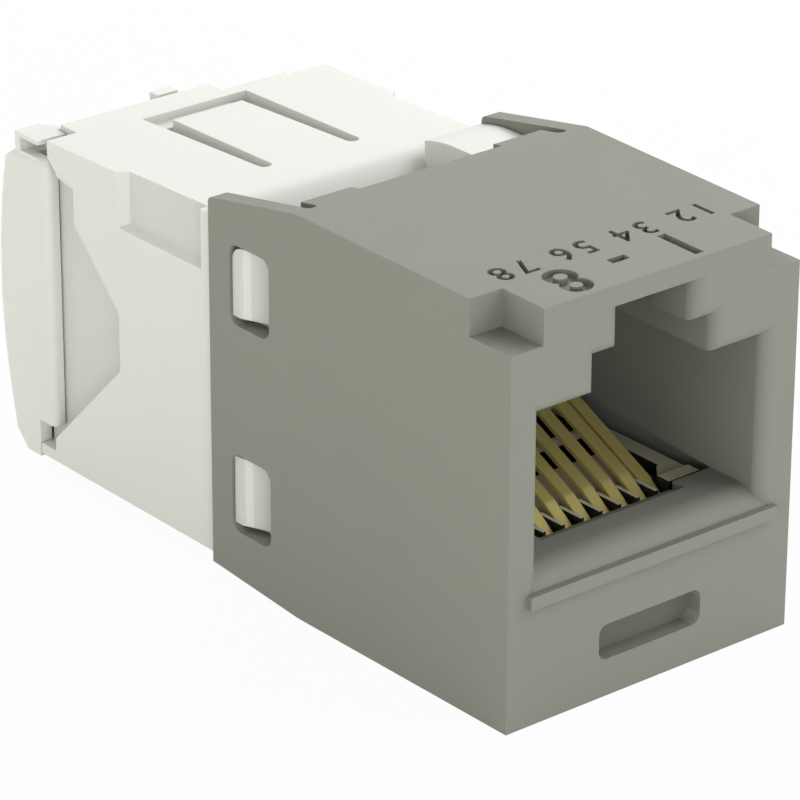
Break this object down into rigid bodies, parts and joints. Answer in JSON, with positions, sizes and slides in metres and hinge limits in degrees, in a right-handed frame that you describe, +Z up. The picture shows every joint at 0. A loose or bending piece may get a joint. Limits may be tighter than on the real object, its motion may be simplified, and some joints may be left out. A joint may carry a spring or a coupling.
{
  "type": "keystone jack",
  "caption": "Snap-in jack for an eight-way modular plug, with a moulded front housing, a rear body with snap lugs, spring contacts and a rear wire termination cap.",
  "frame": {"origin": "under the middle of the jack, at the height of its flat bottom", "axes": "+X across the jack, to the right as the plug opening is faced; +Y from the plug opening to the cable end; +Z up, towards the latch keyway"},
  "size_m": [0.0156, 0.0348, 0.0182],
  "materials": {
    "housing_plastic": "fine moulded texture, warm grey",
    "body_plastic": "satin moulded, off-white",
    "carrier_plastic": "satin moulded, natural cream",
    "board_laminate": "glass laminate with a green lacquer",
    "contact_metal": "gold plated spring strip",
    "terminal_metal": "tin plated blade"
  },
  "bodies": {
    "jack": {"front_housing": "housing_plastic", "rear_body": "body_plastic", "contact_carrier": "carrier_plastic", "circuit_board": "board_laminate", "contact_1": "contact_metal", "contact_2": "contact_metal", "contact_3": "contact_metal", "contact_4": "contact_metal", "contact_5": "contact_metal", "contact_6": "contact_metal", "contact_7": "contact_metal", "contact_8": "contact_metal", "idc_terminal_1": "terminal_metal", "idc_terminal_2": "terminal_metal", "idc_terminal_3": "terminal_metal", "idc_terminal_4": "terminal_metal", "idc_terminal_5": "terminal_metal", "idc_terminal_6": "terminal_metal", "idc_terminal_7": "terminal_metal", "idc_terminal_8": "terminal_metal"},
    "cap": {"termination_cap": "body_plastic"}
  },
  "joints": [
    {"name": "cap_slide", "type": "slide", "parent": "jack", "child": "cap", "axis": [0, 1, 0], "range_m": [0, 0.008]}
  ]
}
